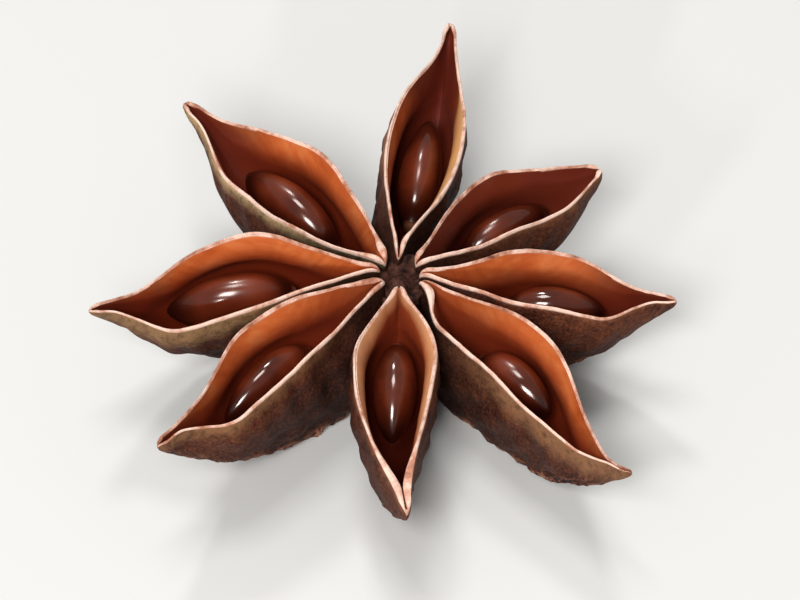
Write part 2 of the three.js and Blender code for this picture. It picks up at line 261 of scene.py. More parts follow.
def keel_height(f, t):
    near = -POD_DEPTH + HUB_RISE * (1 - np.minimum(t, KEEL_TURN) / KEEL_TURN) ** 2
    beak_foot = rim_height(f, 1.0) - f["tip"]
    rise = np.maximum(0, (t - KEEL_TURN) / (1 - KEEL_TURN)) ** KEEL_RISE
    return near + (beak_foot + POD_DEPTH) * rise


def wall_depth(f, t):
    return rim_height(f, t) - keel_height(f, t)


def stray(f, t):
    """How far the slit's line lies sideways from the follicle's straight line."""
    return f["bow"] * 4 * t * (1 - t) + f["hook"] * np.sin(2 * math.pi * t)


def place(f, t, across, depth):
    """The points at t, so far across the slit and so deep below the rims' level."""
    lean = math.radians(f["lean"])
    turn = math.radians(f["turn"])
    shy = f["shy"] * smoothstep(t, *SHY_START) * (1 - smoothstep(t, *SHY_END))
    side = across * math.cos(lean) + depth * math.sin(lean) + stray(f, t) + shy
    height = rim_height(f, t) + across * math.sin(lean) - depth * math.cos(lean)
    out = f["length"] * t
    x = out * math.cos(turn) - side * math.sin(turn)
    y = out * math.sin(turn) + side * math.cos(turn)
    return np.stack(np.broadcast_arrays(x, y, height), axis=-1)


def half_gap(f, side):
    """Half the angle between a follicle and its neighbour on a side."""
    beside = FOLLICLES[(FOLLICLES.index(f) + side) % len(FOLLICLES)]
    return math.radians((beside["turn"] - f["turn"]) * side % 360 / 2)


def join_width(f, t, side, share):
    """How far a wall swells below its rim, near the axis, to meet its neighbour."""
    slope = np.where(side > 0, math.tan(half_gap(f, 1)), math.tan(half_gap(f, -1)))
    reach = np.maximum(0, f["length"] * t * slope * JOIN_OVERLAP - half_width(f, t, side))
    below = smoothstep(share, *JOIN_BELOW) * (1 - smoothstep(share, *JOIN_ABOVE))
    return reach * (1 - smoothstep(t, JOIN_START, JOIN_END)) * below * np.abs(side)


def wall_shape(share, power, bulge):
    return (1 - share) ** power * (1 + bulge * 4 * share * (1 - share))


def coarse_relief(f, along, around):
    """The knobs along the keel and the wrinkles beside it that the CAD solid has too."""
    band = 1 - smoothstep(np.abs(around), BAND_HALF_WIDTH * 0.8, BAND_HALF_WIDTH * 1.5)
    turn = f["turn"]
    coarse = np.sin(
        2 * math.pi * along / CRAG_LENGTH + turn + 1.1 * np.sin(along * 0.83 + turn)
    ) * np.cos(2 * math.pi * around / CRAG_BREADTH + 0.7 * np.sin(along + turn))
    finer = np.sin(3.2 * math.pi * along / CRAG_LENGTH + around * 1.7 + turn * 2.1)
    knobs = (0.62 * coarse + 0.38 * finer) * (0.65 + 0.35 * np.sin(along * 0.47 + turn * 1.3))
    wrinkles = np.sin(along * 1.7 + around * 2.3 + turn) + np.sin(along * 2.9 - around * 1.1)
    return CRAG_HEIGHT * knobs * band + SIDE_WRINKLE * wrinkles * (1 - band)


def rim_wave(f, t, side):
    along = f["length"] * t
    return RIM_WAVE * np.sin(2 * math.pi * along / RIM_WAVE_LENGTH + f["turn"] + side * 1.9)


def rim_strays(f, t, side):
    """How far a rim of a dried wall strays from its even line."""
    along = (f["length"] * t).ravel()
    places = [Vector((x * 1.1, side * 3.1, f["turn"])) for x in along]
    stray = [noise.noise(p) + 0.5 * noise.noise(p * 2.3) for p in places]
    return np.reshape(stray, t.shape)


def rim_drop(f, t, sides):
    """How far the rim of each point's side lies below the follicle's even rims."""
    calm = smoothstep(t, *CALM_START) * (1 - smoothstep(t, *CALM_END))
    uneven = RIM_UNEVEN * smoothstep(t, *UNEVEN_START)
    ccw, cw = (
        -calm * rim_wave(f, t, side) - uneven * rim_strays(f, t, side) for side in (1, -1)
    )
    return np.where(sides > 0, ccw, cw)


def slit_opening(t):
    return smoothstep(t, SLIT_START, SLIT_MOUTH) * (1 - smoothstep(t, HOLLOW_END, SLIT_END))


def slit_half_width(f, t, side):
    rim = RIM_WALL + f["lips"] * smoothstep(t, *LIPS_SPAN)
    return np.maximum(0, half_width(f, t, side) - rim) * slit_opening(t) + SLIT_CRACK


def outer_steps():
    """The q of each outer point, from -1 at one rim over 0 at the keel to 1 at the other."""
    side = np.linspace(-1, -KEEL_SHARE, SIDE_POINTS + 1)[:-1]
    keel = np.linspace(-KEEL_SHARE, KEEL_SHARE, KEEL_POINTS)
    return np.concatenate([side, keel, -side[::-1]])


def ends(f, t):
    """How round the follicle's two ends are: 1 along its middle, 0 where it closes."""
    start = FOLLICLE_START / f["length"]
    near = np.clip((t - start) / START_ROUND, 0, 1)
    far = np.clip((1 - t) / TIP_ROUND, 0, 1)
    return np.sqrt(1 - (1 - near) ** 2), np.sqrt(1 - (1 - far) ** 2)


def arc_from_keel(points):
    """How far each point of a ring lies from the ring's middle point, along the ring."""
    steps = np.linalg.norm(np.diff(points, axis=1), axis=2)
    run = np.concatenate([np.zeros((len(points), 1)), np.cumsum(steps, axis=1)], axis=1)
    middle = points.shape[1] // 2
    return run - run[:, middle : middle + 1]


def facts_of(f, number, t, points, deep, rim, sides):
    """What the materials read at each point; deep is in millimetres below the rims."""
    # belly and band: the golden band below the rims, partly painted light
    belly = smoothstep(t, *BELLY_START) * (1 - smoothstep(t, *BELLY_END))
    band = np.where(sides > 0, f["band_ccw"], f["band_cw"]) * (1 - f["gold"] * (1 - belly))
    return {
        "along": f["length"] * t + 0 * deep,
        "around": arc_from_keel(points),
        "deep": deep + 0 * t,
        "rim": rim + 0 * t,
        "number": number + 0 * deep + 0 * t,
        "t": t + 0 * deep,
        "band": band + 0 * t,
        # how far down the strip below the rims reaches, partly painted light
        "strip": np.where(sides > 0, f["strip_ccw"], f["strip_cw"]) + 0 * t,
        # pale: partly a painted highlight, higher on the rims that face the front
        "pale": np.where(sides > 0, f["pale_ccw"], f["pale_cw"]) + 0 * t,
        "pit": 0 * deep + 0 * t,
        **{name: f[name] + 0 * deep + 0 * t for name in TONES},
    }


def lip(f, t, side):
    """A rim from its outer edge over its crown to the slit's middle: across, depth."""
    way = np.linspace(0, RIM_REACH, RIM_POINTS + 1)[None, 1:]
    width = half_width(f, t, side)
    across = np.maximum(0.004, width + (slit_half_width(f, t, side) - width) * way)
    bulb = np.exp(-(((f["length"] * t - BULB_AT) / BULB_LENGTH) ** 2))
    crown = (RIM_CROWN + BULB_RISE * bulb) * np.sin(math.pi * np.minimum(1, way))
    fall = RIM_FALL * np.clip(way - 0.5, 0, 0.5) ** 1.5
    return side * across, fall - crown + rim_drop(f, t, side + 0 * way)


def outer_grid(f, number):
    """The rings of a follicle as if it were solid: down one side, round the keel and up."""
    start = FOLLICLE_START / f["length"]
    t = np.linspace(start + START_MARGIN, 1 - END_MARGIN, STATIONS)[:, None]
    near, far = ends(f, t)
    q = outer_steps()[None, :]
    share = 1 - q * q
    side = np.sign(q)
    wall = half_width(f, t, side) * wall_shape(share, WALL_POWER, WALL_BULGE)
    wall_across = side * (wall + join_width(f, t, side, share))
    wall_deep = share * wall_depth(f, t) + rim_drop(f, t, q) * (1 - smoothstep(share, 0, RIM_FADE))
    left_across, left_deep = lip(f, t, -1)
    right_across, right_deep = lip(f, t, 1)
    across = np.concatenate([left_across[:, ::-1], wall_across, right_across], axis=1)
    drop = np.concatenate([left_deep[:, ::-1], wall_deep, right_deep], axis=1)
    lips = np.zeros((1, RIM_POINTS))
    share = np.concatenate([lips, share, lips], axis=1)
    rim = np.concatenate([lips + 1, np.abs(q) > 0.995, lips + 1], axis=1)

    middle = f["tip"] / 2
    drop = np.where(far < 1, middle + (drop - middle) * far, drop)
    drop = drop + (1 - near) * START_DIP * (1 - share)
    points = place(f, t, across * near * far, drop)
    return points, facts_of(f, number, t, points, share * wall_depth(f, t), rim, across)


def cushion(deep):
    """How far the lining swells over the seed at a depth, from 0 to 1."""
    swell = np.sin(math.pi / 2 * np.minimum(1, deep / CUSHION_DEPTH))
    return swell * (1 - smoothstep(deep, CUSHION_DEPTH, CUSHION_FOOT))


def hollow_grid(f, number):
    """The rings of the body that cuts out a follicle's slit and hollow."""
    t = np.linspace(SLIT_START - HOLLOW_LEAD, SLIT_END, HOLLOW_STATIONS)[:, None]
    full = HOLLOW_SHALLOW + (1 - HOLLOW_SHALLOW) * smoothstep(t, HOLLOW_START, HOLLOW_FULL)
    deepest = np.maximum(HOLLOW_LEAST, wall_depth(f, t) - KEEL_WALL)
    floor = deepest * full * slit_opening(t) + CRACK_DEPTH
    down = 1 - np.linspace(0, 1, HOLLOW_POINTS) ** 1.5
    p = np.concatenate([-down, down[-2::-1]])[None, :]
    share = 1 - p * p
    side = np.sign(p)
    deep = share * floor
    shape = wall_shape(share, HOLLOW_POWER, HOLLOW_BULGE) - CUSHION * cushion(deep)
    thicker = WALL_THICKENS * smoothstep(deep, 0.4, 3) * slit_opening(t)
    across = side * np.maximum(0, slit_half_width(f, t, side) * shape - thicker)
    drop = deep + rim_drop(f, t, p) * (1 - smoothstep(share, 0, RIM_FADE))
    left, right = (slit_half_width(f, t, side) + MOUTH_FLARE for side in (-1, 1))
    across = np.concatenate([-left, across, right], axis=1)
    drop = np.concatenate([0 * left - MOUTH_HEIGHT, drop, 0 * right - MOUTH_HEIGHT], axis=1)
    deep = np.concatenate([0 * left, deep, 0 * right], axis=1)
    points = place(f, t, across, drop)
    return points, facts_of(f, number, t, points, deep, 0 * deep, across)


def ridges(points, size):
    """Sharp-crested wrinkles, from -1 in the hollows to 1 on the crests."""
    return np.array([1 - CREST_STEEP * abs(noise.noise(Vector(p))) for p in points / size])


def lumps(points, size):
    return np.array([noise.noise(Vector(p)) for p in points / size])


def outer_relief(f, facts):
    """How far each outer point stands proud, and how much of a crest it is."""
    along, around, t = (facts[name].ravel() for name in ("along", "around", "t"))
    calm = smoothstep(t, *CALM_START) * (1 - smoothstep(t, *CALM_END))
    craggy = calm * (1 - BEAK_CALM * smoothstep(t, *BEAK_CALM_SPAN))
    outside = craggy * smoothstep(facts["deep"].ravel(), 0, 1.5)
    band = 1 - smoothstep(np.abs(around), BAND_HALF_WIDTH, BAND_HALF_WIDTH * 1.9)
    spot = np.stack([along, around, 0 * along + 7.3 * f["turn"]], axis=1)
    stretched = spot * np.array([0.45, 1.0, 1.0])
    crests = ridges(spot, 0.95) * FINE_CRAG + ridges(spot + 31, 0.55) * FINER_CRAG
    fibres = ridges(stretched + 11, 0.75) * FIBRE + lumps(spot + 5, 2.6) * SIDE_LUMP
    fine = crests * band + fibres * (1 - band)
    height = (coarse_relief(f, along, around) + fine) * outside
    # The crest share also sets the keel's painted light and shade: lighter on crests, darker in
    # hollows.
    crest = np.clip((fine / (FINE_CRAG + FINER_CRAG) + 1) / 2, 0, 1)
    return height, crest


def hollow_relief(f, facts):
    """Faint ripples that run down the lining from the rims."""
    along, around = facts["along"].ravel(), facts["around"].ravel()
    spot = np.stack([along, around * 0.3, 0 * along + 5.1 * f["turn"]], axis=1)
    height = lumps(spot, 0.6) * LINING_RIPPLE * smoothstep(facts["deep"].ravel(), 0, 0.6)
    return height, 0 * height


# ---------------------------------------------------------------------------------------------
# Meshes
# ---------------------------------------------------------------------------------------------


def pod_axis():
    """Where the pod's axis meets the rims' level, in the CAD's frame, in metres."""
    beaks = []
    for f in FOLLICLES:
        sides = np.array([-1, 1])
        beaks.append(place(f, 1.0, sides * half_width(f, 1.0, sides), 0.0))
    beaks = np.concatenate(beaks)
    middle = (beaks.min(0) + beaks.max(0)) / 2 * MM
    low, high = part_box("husk")
    centre = (low + high) / 2
    return np.array([centre.x - middle[0], centre.y - middle[1], (POD_DEPTH - REST_SLICE) * MM])


AXIS = pod_axis()


def grid_faces(rings, sides):
    """The faces of a tube of rings that is closed at both ends."""
    faces = []
    for i in range(rings - 1):
        for j in range(sides):
            a, b = i * sides + j, i * sides + (j + 1) % sides
            faces.append((a, b, b + sides, a + sides))
    last = (rings - 1) * sides
    faces.append(tuple(range(sides - 1, -1, -1)))
    faces.append(tuple(range(last, last + sides)))
    return faces


def new_object(name, points, faces):
    mesh = bpy.data.meshes.new(name)
    mesh.from_pydata((points * MM + AXIS).tolist(), [], faces)
    mesh.update()
    obj = bpy.data.objects.new(name, mesh)
    bpy.context.scene.collection.objects.link(obj)
    return obj


def vertex_vectors(mesh, which):
    values = np.zeros(len(mesh.vertices) * 3, np.float32)
    if which == "normal":
        mesh.vertex_normals.foreach_get("vector", values)
    else:
        mesh.vertices.foreach_get("co", values)
    return values.reshape(-1, 3).astype(float)


def push_out(obj, heights):
    """Moves each vertex along its normal, in millimetres, and keeps it on or above the floor."""
    mesh = obj.data
    places = vertex_vectors(mesh, "place") + vertex_vectors(mesh, "normal") * heights[:, None] * MM
    places[:, 2] = np.maximum(places[:, 2], CAD_LOW.z)
    mesh.vertices.foreach_set("co", places.astype(np.float32).ravel())
    mesh.update()


def ringed_object(name, grid, relief, f, number):
    points, facts = grid(f, number)
    rings, sides = points.shape[:2]
    obj = new_object(f"{name}_{number}", points.reshape(-1, 3), grid_faces(rings, sides))
    heights, facts["crest"] = relief(f, facts)
    push_out(obj, heights)
    return obj, {name: values.ravel() for name, values in facts.items()}


def lathe_object(name, outline, sides):
    """A closed turned body on the pod's axis, from its lowest to its highest outline point."""
    turns = np.linspace(0, 2 * math.pi, sides, endpoint=False)
    rings = [
        np.stack([r * np.cos(turns), r * np.sin(turns), 0 * turns + z], axis=1) for r, z in outline
    ]
    return new_object(name, np.concatenate(rings), grid_faces(len(outline), sides))


def curve_through(corners, steps):
    """More points along a line of corners, for a smooth turned outline."""
    corners = np.array(corners, float)
    where = np.linspace(0, len(corners) - 1, steps)
    index = np.minimum(where.astype(int), len(corners) - 2)
    share = (where - index)[:, None]
    return corners[index] * (1 - share) + corners[index + 1] * share


def column_object():
    """The column that joins the follicles, with its sunken top and the stalk's broken stub."""
    end = -POD_DEPTH + STALK_CLEAR
    outline = curve_through(
        [
            (0.02, end + STALK_HOLLOW),
            (STALK_RADIUS * 0.55, end + STALK_HOLLOW * 0.6),
            (STALK_RADIUS * 0.85, end),
            (STALK_RADIUS, end + 0.15),
            (STALK_RADIUS * 1.3, -POD_DEPTH + HUB_RISE),
            (COLUMN_RADIUS, -POD_DEPTH + COLUMN_FOOT + 0.5),
            (COLUMN_RADIUS, COLUMN_TOP - 0.6),
            (COLUMN_RADIUS * 0.9, COLUMN_TOP - 0.2),
            (PIT_RADIUS * 0.85, -PIT_DEPTH * 0.9),
            (PIT_RADIUS * 0.6, -PIT_DEPTH * 1.1),
            (PIT_RADIUS * 0.35, -PIT_DEPTH * 0.85),
            (0.02, -PIT_DEPTH * 0.7),
        ],
        COLUMN_STEPS,
    )
    obj = lathe_object("column", outline, COLUMN_SIDES)
    places = (vertex_vectors(obj.data, "place") - AXIS) / MM
    stretched = places * np.array([1, 1, 0.5])
    heights = ridges(stretched, 0.8) * COLUMN_RIDGE + lumps(places, 1.1) * COLUMN_LUMP
    push_out(obj, heights)
    count = len(obj.data.vertices)
    names = "along around deep rim number t band strip pale pit crest".split() + TONES
    facts = {name: np.zeros(count) for name in names}
    facts["around"] = np.arctan2(places[:, 1], places[:, 0]) * COLUMN_RADIUS
    facts["along"] = places[:, 2]
    facts["deep"] = -places[:, 2]
    # pit: 1 at the column's top, fading further down; the outer skin paints shade there
    facts["pit"] = 1 - smoothstep(-places[:, 2], 1, 4)
    facts["crest"] = np.clip(heights * 3 + 0.5, 0, 1)
    return obj, facts


def combined(base, other, operation):
    """A body with another body joined to it or cut out of it; both bodies are used up."""
    boolean = base.modifiers.new(operation, "BOOLEAN")
    boolean.operation = operation
    boolean.solver = "MANIFOLD"
    boolean.object = other
    dg = bpy.context.evaluated_depsgraph_get()
    mesh = bpy.data.meshes.new_from_object(base.evaluated_get(dg))
    for obj in (base, other):
        bpy.data.objects.remove(obj)
    result = bpy.data.objects.new("husk_detailed", mesh)
    bpy.context.scene.collection.objects.link(result)
    return result


def give_attribute(mesh, name, values):
    attribute = mesh.attributes.new(name, "FLOAT", "POINT")
    attribute.data.foreach_set("value", values.astype(np.float32))


def set_material(obj, materials, index):
    for material in materials:
        obj.data.materials.append(material)
    obj.data.polygons.foreach_set("material_index", [index] * len(obj.data.polygons))


def nearest_facts(bodies, places):
    """The facts of the bodies' vertices that lie nearest to these places."""
    known = np.concatenate([body_places for body_places, _ in bodies])
    facts = {name: np.concatenate([part[name] for _, part in bodies]) for name in bodies[0][1]}
    tree = KDTree(len(known))
    for i, p in enumerate(known):
        tree.insert(p, i)
    tree.balance()
    nearest = np.array([tree.find(p)[1] for p in places])
    return {name: values[nearest] for name, values in facts.items()}


def back_to_front():
    """The follicles' indices, from the one that points most to the back to the front one."""
    turns = [math.radians(f["turn"]) for f in FOLLICLES]
    return sorted(range(len(FOLLICLES)), key=lambda i: -math.sin(turns[i]))


def husk_object(outside, inside):
    """The follicles and their column in one, with the slits and hollows cut out of them."""
    numbered = list(enumerate(FOLLICLES, 1))
    outer = [column_object()]
    outer += [ringed_object("outer", outer_grid, outer_relief, f, i) for i, f in numbered]
    hollow = [ringed_object("hollow", hollow_grid, hollow_relief, f, i) for i, f in numbered]
    for index, bodies in enumerate((outer, hollow)):
        for obj, _ in bodies:
            set_material(obj, (outside, inside), index)
    outer_known, hollow_known = (
        [(vertex_vectors(obj.data, "place"), facts) for obj, facts in bodies]
        for bodies in (outer, hollow)
    )
    husk = outer[0][0]
    for i in back_to_front():
        husk = combined(husk, outer[i + 1][0], "UNION")
        husk = combined(husk, hollow[i][0], "DIFFERENCE")
    mesh = husk.data
    places = vertex_vectors(mesh, "place")
    touches_outside = np.zeros(len(places), bool)
    for face in mesh.polygons:
        if face.material_index == 0:
            touches_outside[list(face.vertices)] = True
    from_outer = nearest_facts(outer_known, places)
    from_hollow = nearest_facts(hollow_known, places)
    for name in from_outer:
        give_attribute(mesh, name, np.where(touches_outside, from_outer[name], from_hollow[name]))
    mesh.shade_smooth()
    mesh.set_sharp_from_angle(angle=math.radians(SHARP_EDGE))
    return husk


# ---------------------------------------------------------------------------------------------
# Materials
# ---------------------------------------------------------------------------------------------


def srgb(red, green, blue):
    """A colour of 0 to 255 a channel as Blender's linear values."""
    def linear(c):
        c /= 255
        return c / 12.92 if c <= 0.04045 else ((c + 0.055) / 1.055) ** 2.4
    return (linear(red), linear(green), linear(blue), 1)


class Nodes:
    """Short calls for building a node tree."""

    def __init__(self, name):
        self.material = bpy.data.materials.new(name)
        self.material.use_nodes = True
        self.tree = self.material.node_tree
        self.shader = self.tree.nodes["Principled BSDF"]

    def add(self, kind, **inputs):
        node = self.tree.nodes.new(kind)
        for name, value in inputs.items():
            self.put(node.inputs[name.replace("_", " ")], value)
        return node

    def put(self, socket, value):
        if isinstance(value, bpy.types.NodeSocket):
            self.tree.links.new(value, socket)
        else:
            socket.default_value = value

    def shade(self, **inputs):
        for name, value in inputs.items():
            self.put(self.shader.inputs[name.replace("_", " ")], value)

    def fact(self, name):
        node = self.tree.nodes.new("ShaderNodeAttribute")
        node.attribute_name = name
        return node.outputs["Fac"]

    def place(self):
        """The surface's own place, in millimetres."""
        where = self.add("ShaderNodeTexCoord").outputs["Object"]
        node = self.tree.nodes.new("ShaderNodeVectorMath")
        node.operation = "MULTIPLY"
        self.put(node.inputs[0], where)
        node.inputs[1].default_value = (1 / MM, 1 / MM, 1 / MM)
        return node.outputs[0]

    def math(self, operation, a, b=0.5, clamp=False):
        node = self.tree.nodes.new("ShaderNodeMath")
        node.operation = operation
        node.use_clamp = clamp
        self.put(node.inputs[0], a)
        self.put(node.inputs[1], b)
        return node.outputs[0]

    def vector(self, x, y, z):
        return self.add("ShaderNodeCombineXYZ", X=x, Y=y, Z=z).outputs[0]

    def noise(self, where, scale, detail=4, rough=0.6, distortion=0.0):
        node = self.add(
            "ShaderNodeTexNoise", Vector=where, Scale=scale, Detail=detail, Roughness=rough,
            Distortion=distortion,
        )
        return node.outputs["Fac"]

    def ramp(self, value, *stops):
        """stops are (place, colour or grey)."""
        node = self.add("ShaderNodeValToRGB", Fac=value)
        elements = node.color_ramp.elements
        while len(elements) < len(stops):
            elements.new(0.5)
        for element, (place, colour) in zip(elements, stops):
            element.position = place
            grey = isinstance(colour, (int, float))
            element.color = (colour, colour, colour, 1) if grey else colour
        return node.outputs["Color"]

    def mix(self, share, a, b):
        node = self.tree.nodes.new("ShaderNodeMix")
        node.data_type = "RGBA"
        self.put(node.inputs["Factor"], share)
        self.put(node.inputs["A"], a)
        self.put(node.inputs["B"], b)
        return node.outputs["Result"]

    def bump(self, height, strength, distance, under=None):
        node = self.add("ShaderNodeBump", Height=height, Strength=strength, Distance=distance)
        if under is not None:
            self.put(node.inputs["Normal"], under)
        return node.outputs["Normal"]


RIM_SHADES = ((0.36, srgb(118, 70, 52)), (0.5, srgb(184, 128, 104)), (0.66, srgb(228, 192, 174)))
SKIN_SHADES = (
    (0.3, srgb(40, 13, 7)), (0.44, srgb(76, 33, 18)), (0.56, srgb(92, 48, 28)),
    (0.7, srgb(80, 30, 18)),
)
# Painted shade: the outer skin's colour low down on the walls, towards the keel.
SKIN_SHADE_BELOW = srgb(30, 11, 9)
SKIN_FIBRE = srgb(104, 62, 40)
SKIN_FLECK = srgb(34, 13, 8)
SKIN_GRAIN = srgb(128, 74, 50)
SKIN_DOT = srgb(20, 7, 5)
# Painted shade: the outer skin near the axis, where the follicles crowd together.
SKIN_SHADE_AT_HUB = srgb(22, 7, 5)
# The strip below the rims: partly the skin's own olive, cream and pink, partly painted light.
STRIP_OLIVE = srgb(116, 74, 42)
STRIP_CREAM = srgb(186, 158, 114)
STRIP_PINK = srgb(156, 98, 78)
# The keel's tones, from dark to pale: partly its own net of lines, partly painted shade in the
# relief's hollows and painted light on its crests.
KEEL_TONES_AND_RELIEF_SHADE = (
    (0.2, srgb(26, 10, 7)), (0.45, srgb(66, 32, 22)), (0.65, srgb(116, 70, 52)),
    (0.85, srgb(158, 108, 86)),
)
# The column's sunken top: its own grey-brown, darkened with painted shade.
PIT_TONES_AND_SHADE = ((0.35, srgb(22, 9, 7)), (0.66, srgb(92, 56, 44)))
LINING_SHADES = ((0.34, srgb(164, 70, 28)), (0.5, srgb(188, 92, 42)), (0.68, srgb(206, 120, 66)))
# Painted shade: the lining low down in the hollow, in the beak's end and near the axis.
LINING_SHADE_DEEP = srgb(122, 41, 18)
LINING_SHADE_AT_BEAK = srgb(88, 29, 17)
LINING_SHADE_AT_AXIS = srgb(112, 44, 22)
LINING_GLOOM = srgb(98, 34, 18)
# The lining's band below the rims, tan and golden: partly its own tone, partly painted light.
BAND_TAN = srgb(216, 156, 120)
BAND_GOLD = srgb(238, 184, 120)
COAT_SHADES = ((0.35, srgb(60, 19, 8)), (0.65, srgb(100, 38, 18)))
# Painted shade: the seed coat at its ends.
COAT_SHADE_AT_ENDS = srgb(34, 8, 4)
COAT_SCAR = srgb(110, 66, 44)
FLOOR_TONE = srgb(198, 197, 194)


def along_follicle(n, stretch):
    """A place for noise that is drawn out along the follicle and differs on each."""
    along = n.math("MULTIPLY", n.fact("along"), stretch)
    return n.vector(along, n.fact("around"), n.fact("number"))


def rim_tone(n, where):
    """The pale edge of a dried wall, tan and brown in places; paler with the pale fact, which is
    partly a painted highlight on the rims that face the front.
    """
    shade = n.math("ADD", n.noise(where, 0.75, 4, 0.65), n.math("MULTIPLY", n.fact("pale"), 0.14))
    return n.ramp(shade, *RIM_SHADES)


def band_share(n, where, widest):
    """1 at the rim, falling to 0 at the foot of its pale band, which is ragged and partly painted
    light.
    """
    width = n.math("ADD", n.math("MULTIPLY", n.fact("band"), widest), 0.06)
    ragged = n.math("MULTIPLY", n.math("SUBTRACT", n.noise(where, 1.8, 3), 0.5), 0.15)
    foot = n.math("ADD", n.fact("deep"), ragged)
    return n.ramp(n.math("DIVIDE", foot, width), (0.0, 1.0), (1.1, 0.0))


def skin_tone(n, patches):
    """The patchy red-brown outer skin, with painted shade that makes it dark lower down, towards
    the keel.
    """
    low = n.math("ADD", n.math("MULTIPLY", n.fact("deep"), 0.12), n.math("MULTIPLY", patches, 0.3))
    return n.mix(n.ramp(low, (0.25, 0.0), (0.75, 0.8)), n.ramp(patches, *SKIN_SHADES), SKIN_SHADE_BELOW)


def strip_share(n, where):
    """1 on the strip below the rims, partly painted light on the upper walls, which a creamy one
    keeps up to the axis.
    """
    ragged = n.math("ADD", n.fact("deep"), n.noise(where, 0.8))
    down = n.math("DIVIDE", ragged, n.math("ADD", n.fact("strip"), 0.5))
    outward = n.math("MAXIMUM", n.fact("cream"), n.ramp(n.fact("t"), (0.25, 0.1), (0.5, 1.0)))
    return n.math("MULTIPLY", n.ramp(down, (0.5, 0.85), (1.15, 0.0)), outward)


def strip_tone(n):
    """Olive, creamy or pink, as each follicle has it: partly the skin's own tone, partly painted
    light.
    """
    return n.mix(n.fact("pink"), n.mix(n.fact("cream"), STRIP_OLIVE, STRIP_CREAM), STRIP_PINK)


def speckled(n, where, skin, grain, strip):
    """The skin with tan fibres, dark flecks, tan grains and dark dots, few of them on the strip."""
    fibres = n.noise(along_follicle(n, 0.4), 2.2, 4, 0.65, 0.5)
    skin = n.mix(n.ramp(fibres, (0.54, 0.0), (0.72, 0.35)), skin, SKIN_FIBRE)
    flecks = n.noise(where, 1.7, 4, 0.7)
    skin = n.mix(n.ramp(flecks, (0.48, 0.0), (0.72, 0.75)), skin, SKIN_FLECK)
    skin = n.mix(n.ramp(grain, (0.5, 0.0), (0.68, 0.55)), skin, SKIN_GRAIN)
    plain = n.math("SUBTRACT", 1.0, n.math("MULTIPLY", strip, 0.8))
    dots = n.math("MULTIPLY", n.ramp(grain, (0.32, 0.7), (0.48, 0.0)), plain)
    return n.mix(dots, skin, SKIN_DOT)


def keel_share(n, where):
    """1 on the ragged band along the keel, fading towards the beak."""
    around = n.math("ABSOLUTE", n.fact("around"))
    edge = n.math("ADD", around, n.math("MULTIPLY", n.noise(where, 0.9), 0.9))
    on_band = n.ramp(n.math("MULTIPLY", edge, 0.3), (0.38, 1.0), (0.62, 0.0))
    return n.math("MULTIPLY", on_band, n.ramp(n.fact("t"), (0.62, 1.0), (0.88, 0.2)))


def fine_network(n):
    """1 on the thin lines of a net that runs over the keel."""
    cloud = n.noise(along_follicle(n, 0.8), 1.1, 4, 0.6, 0.8)
    away = n.math("MULTIPLY", n.math("ABSOLUTE", n.math("SUBTRACT", cloud, 0.5)), 9.0)
    return n.math("SUBTRACT", 1.0, away, clamp=True)


def outside_material():
    """The dull outer skin: a strip below the rims, partly painted light, red-brown, then dark with
    painted shade, with a craggy tan keel; painted shade also darkens the axis and the sunken top.
    """
    n = Nodes("husk_outside")
    where = n.place()
    patches = n.noise(where, 0.34, 5, 0.62, 0.6)
    grain = n.noise(where, 5.5, 4, 0.75)
    strip = strip_share(n, where)
    skin = n.mix(strip, skin_tone(n, patches), strip_tone(n))
    skin = speckled(n, where, skin, grain, strip)
    # Painted shade: the skin darkens towards the axis.
    outward = n.math("ADD", n.fact("t"), n.math("MULTIPLY", patches, 0.12))
    skin = n.mix(n.ramp(outward, (0.26, 0.75), (0.52, 0.0)), skin, SKIN_SHADE_AT_HUB)
    network = fine_network(n)
    on_keel = keel_share(n, where)
    # The keel's tone follows its net of lines and, as painted light and shade, its relief: lighter
    # on the crests, darker in the hollows.
    keel_tone_and_relief_shade = n.math("ADD", n.math("MULTIPLY", network, 0.6), n.math("MULTIPLY", n.fact("crest"), 0.4))
    skin = n.mix(on_keel, skin, n.ramp(keel_tone_and_relief_shade, *KEEL_TONES_AND_RELIEF_SHADE))
    on_rim = n.ramp(n.fact("rim"), (0.5, 0.0), (0.8, 1.0))
    skin = n.mix(on_rim, skin, rim_tone(n, where))
    # The sunken top at the axis: grey-brown, darkened with painted shade.
    pit_colour_and_shade = n.ramp(n.noise(where, 1.6, 4, 0.7), *PIT_TONES_AND_SHADE)
    uneven = n.bump(n.noise(where, 2.2, 5, 0.7), 0.7, 0.16 * MM)
    craggy = n.bump(n.math("MULTIPLY", network, on_keel), 0.9, 0.22 * MM, uneven)
    n.shade(
        Base_Color=n.mix(n.fact("pit"), skin, pit_colour_and_shade),
        Roughness=n.ramp(patches, (0.3, 0.55), (0.7, 0.75)), Specular_IOR_Level=0.12,
        Normal=n.bump(grain, 0.7, 0.1 * MM, craggy),
    )
    return n.material


def lining_tone(n, where, clouds, grain):
    """Cloudy orange-brown, and dark red-brown low down as painted shade, sooner towards both ends.
    """
    mottle = n.math("ADD", n.math("MULTIPLY", clouds, 0.65), n.math("MULTIPLY", grain, 0.35))
    foot = n.math("ADD", n.fact("deep"), n.math("MULTIPLY", n.noise(where, 0.8, 3), 0.7))
    reach = n.ramp(n.fact("t"), (0.06, 0.7), (0.3, 1.0), (0.66, 1.0), (0.95, 0.3))
    down = n.math("DIVIDE", n.math("MULTIPLY", foot, 0.2), reach)
    low = n.ramp(down, (0.2, 0.0), (0.38, 0.7), (0.58, 1.0))
    return n.mix(low, n.ramp(mottle, *LINING_SHADES), LINING_SHADE_DEEP)


